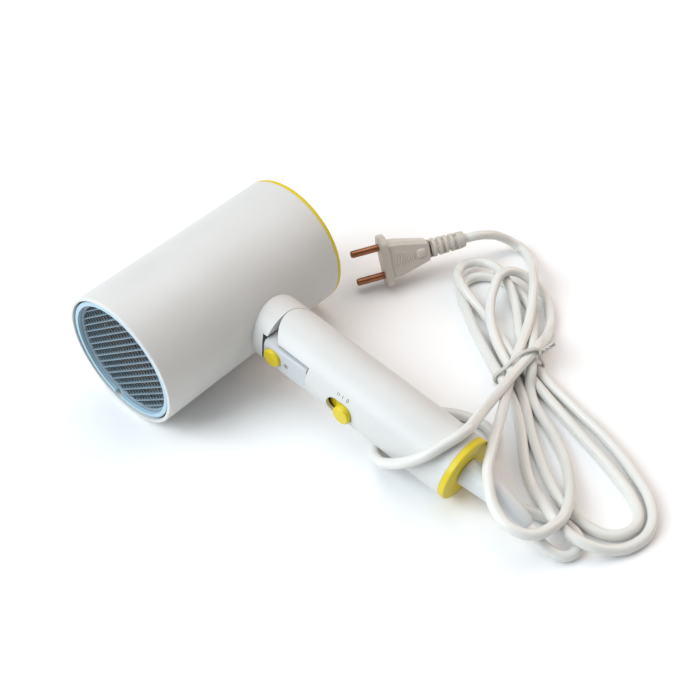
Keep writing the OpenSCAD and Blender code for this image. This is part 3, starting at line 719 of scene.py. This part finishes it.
def add_plug():
    """The plug in three pieces: moulding, slotted sleeve and pins."""
    ivory = MATERIALS["plug_ivory"]
    bm = bmesh.new()
    # Flange: long sides, slanted corners and flat ends, with rounded rims
    outline = [(-17, -4.6), (-12.2, -9), (12.2, -9), (17, -4.6), (17, 4.6), (12.2, 9), (-12.2, 9),
               (-17, 4.6)]
    rings = []
    for z, inset in ((0, 1.0), (-0.25, 0.4), (-0.8, 0.0), (-4.2, 0.0), (-4.75, 0.4), (-5.0, 1.0)):
        shrink = Vector((1 - inset / 17, 1 - inset / 9))
        rings.append([Vector((p.x * shrink.x, p.y * shrink.y, z)) for p in rounded(outline, 1.6)])
    loft(bm, rings)

    # Grip: four-sided, bevelled along its edges, with wavy ribs on the broad faces
    rings = []
    steps = 116
    for k in range(steps + 1):
        z = -3 - 29 * k / steps
        hx, hy = grip_size(z)
        close = max(0.0, (-31.0 - z)) * 0.9
        hx, hy = hx - close, hy - close
        near_x, near_y = hx - GRIP_BEVEL, hy - GRIP_BEVEL
        ring = []
        for x0, y0, x1, y1 in ((hx, -near_y, hx, near_y), (near_x, hy, -near_x, hy),
                               (-hx, near_y, -hx, -near_y), (-near_x, -hy, near_x, -hy)):
            for i in range(25):
                t = i / 24
                x, y = x0 + t * (x1 - x0), y0 + t * (y1 - y0)
                if abs(y) > hy - 0.01 and RIB_TO < z < RIB_FROM:
                    y += math.copysign(rib_height(x, z), y)
                ring.append(Vector((x, y, z)))
        rings.append(ring)
    loft(bm, rings)
    # Thumb stop, a bent lug near the lead
    rings = []
    for z, w, h in ((-22.6, 1.2, 0.1), (-23.2, 2.5, 0.9), (-24.4, 3.1, 1.5), (-27.0, 3.1, 1.6),
                    (-28.2, 2.6, 1.2), (-29.0, 1.4, 0.2)):
        base = -grip_size(z)[1]
        rings.append([Vector((w * math.cos(a), base + 0.5 - (h + 0.5) * max(0, math.sin(a)) ** 0.6, z))
                      if math.sin(a) > 0 else Vector((w * math.cos(a), base + 0.5, z))
                      for a in [2 * math.pi * i / 24 for i in range(24)]])
    loft(bm, rings)
    moulding = placed("plug_moulding", bm, AT_PLUG, "handle", ivory, 32)
    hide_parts("plug_body")

    bm = bmesh.new()
    # Slotted relief: core, collar at the lead, four rings joined by bridges
    revolve(bm, [(3.2, -57.1), (4.4, -57.0), (4.6, -56.4), (4.6, -32.1), (3.2, -32.05)], 48)
    revolve(bm, [(4.4, -57.05), (5.0, -56.9), (5.35, -56.2), (5.7, -52.4), (5.55, -51.7), (5.1, -51.5),
                 (4.4, -51.5)], 64, closed=True)
    for k in range(4):
        z, r = -49.2 + 4.1 * k, 5.9 + 0.12 * k
        revolve(bm, [(4.4, z), (r - 0.45, z), (r - 0.1, z + 0.2), (r, z + 0.6), (r, z + 1.8),
                     (r - 0.1, z + 2.15), (r - 0.45, z + 2.35), (4.4, z + 2.35)], 64, closed=True)
    for k in range(5):
        z = -51.6 + 4.1 * k
        for side in (0, 180):
            box(bm, (3.8, -2.0, z), (5.35 + 0.1 * k, 2.0, z + 2.6), 0.25,
                turn(side + (90 if k % 2 else 0), "Z"))
    box(bm, (-5.0, -5.0, -33.6), (5.0, 5.0, -31.9), 1.2)
    plug_boot = placed("plug_boot", bm, AT_PLUG, "handle", ivory, 40)
    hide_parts("plug_relief")

    bm = bmesh.new()
    for side in (-PIN_PITCH / 2, PIN_PITCH / 2):
        before = set(bm.verts)
        revolve(bm, [(0.02, -8.0), (2.1, -8.0), (2.1, 0.0), (2.4, 0.05), (2.4, 17.2),
                     (2.32, 17.9), (2.05, 18.5), (1.6, 18.9), (0.9, 19.0), (0.02, 19.0)], 40)
        fresh = [v for v in bm.verts if v not in before]
        bmesh.ops.translate(bm, verts=fresh, vec=(side, 0, 0))
    pins = placed("plug_prongs", bm, AT_PLUG, "handle", MATERIALS["pin_brass"])
    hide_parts("plug_pins")
    return [moulding, plug_boot, pins]


plug_pieces = add_plug()

# ---------------------------------------------------------------- wire tie

TIE_LOOP = [(-14.8, 0.75), (-6, 0.75), (4, 0.75), (12.7, 0.75), (14.9, 2.8), (15.0, 7.4), (12.0, 12.8),
            (11.2, 19.1), (8.2, 21.5), (0.6, 21.5), (-3.3, 19.2), (-7.0, 15.6), (-9.7, 12.2),
            (-14.9, 8.9), (-16.9, 6.8), (-16.9, 2.5)]
TIE_R = 0.75
TIE_TWISTS = 1.25


def add_tie():
    """Two turns of a coated wire round the hank, the ends twisted together at the right."""
    local = move(103, -85, 0) @ turn(-30, "Z")
    start = 7       # the corner next to the twisted ends
    loop = rounded(TIE_LOOP[start:] + TIE_LOOP[:start], 1.8)
    points = [(11.5, 0.9, 18.6)]
    for lap in range(2):
        for i, (x, z) in enumerate(loop):
            share = (lap * len(loop) + i) / (2 * len(loop))
            points.append((x, 1.1 - 2.2 * share, z))
    points.append((11.3, -1.1, 19.0))
    points = [Vector(point) for point in points]
    # Out along the twist, round the end loop, and back
    out = Vector((math.sin(math.radians(62)), 0, math.cos(math.radians(62))))
    across = Vector((0, 1, 0))
    up = out.cross(across)
    root = Vector((11.9, 0, 17.6))

    def twisted(phase):
        strand = []
        for k in range(9):
            angle = 2 * math.pi * TIE_TWISTS * k / 8 + phase
            strand.append(root + out * (1 + 6.5 * k / 8)
                          + 0.8 * (math.cos(angle) * across + math.sin(angle) * up))
        return strand

    end = root + out * 9.2
    points += twisted(0) + [end + 0.9 * up, end + out * 0.6, end - 0.9 * up]
    points += twisted(math.pi)[::-1]
    bm = bmesh.new()
    sweep(bm, [(p.x, p.y, p.z, TIE_R) for p in smooth_path(points, 4)], 12)
    tie = placed("wire_tie", bm, local, "handle", MATERIALS["tie_white"], 60)
    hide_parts("cord_tie")
    return tie


tie = add_tie()

# ---------------------------------------------------------------- floor and light


def add_stage():
    """A plain pale floor under soft lights: a cool key, a white top and a warm fill."""
    bpy.ops.mesh.primitive_plane_add(size=6, location=(0, 0, -0.0002))
    floor = bpy.context.object
    floor.name = "floor"
    n = Nodes("floor")
    cloud = n.noise(3, 3, 0.5)
    n.join(n.mix(cloud, (0.94, 0.94, 0.94), (0.96, 0.96, 0.96)), "Base Color")
    n.set(Roughness=0.7, Specular_IOR_Level=0.2)
    floor.data.materials.append(n.material)

    world = bpy.data.worlds.new("world")
    bpy.context.scene.world = world
    world.use_nodes = True
    world.node_tree.nodes["Background"].inputs["Color"].default_value = (0.93, 0.96, 1.0, 1)
    world.node_tree.nodes["Background"].inputs["Strength"].default_value = 0.27

    for name, place, size, power, colour in (
            ("key", (-1.3, 0.75, 1.2), 1.5, 35, (0.87, 0.95, 1.0)),
            ("top", (0.2, 0.5, 2.0), 2.0, 17, (1.0, 1.0, 1.0)),
            ("fill", (1.4, -0.4, 0.9), 1.2, 10, (1.0, 0.78, 0.64))):
        data = bpy.data.lights.new(name, "AREA")
        data.shape = "DISK"
        data.size = size
        data.energy = power
        data.color = colour
        light = bpy.data.objects.new(name, data)
        light.location = place
        aim = Vector((0, 0, 0.03)) - Vector(place)
        light.rotation_euler = aim.to_track_quat("-Z", "Y").to_euler()
        bpy.context.scene.collection.objects.link(light)


add_stage()
bpy.context.scene.view_settings.view_transform = "Standard"
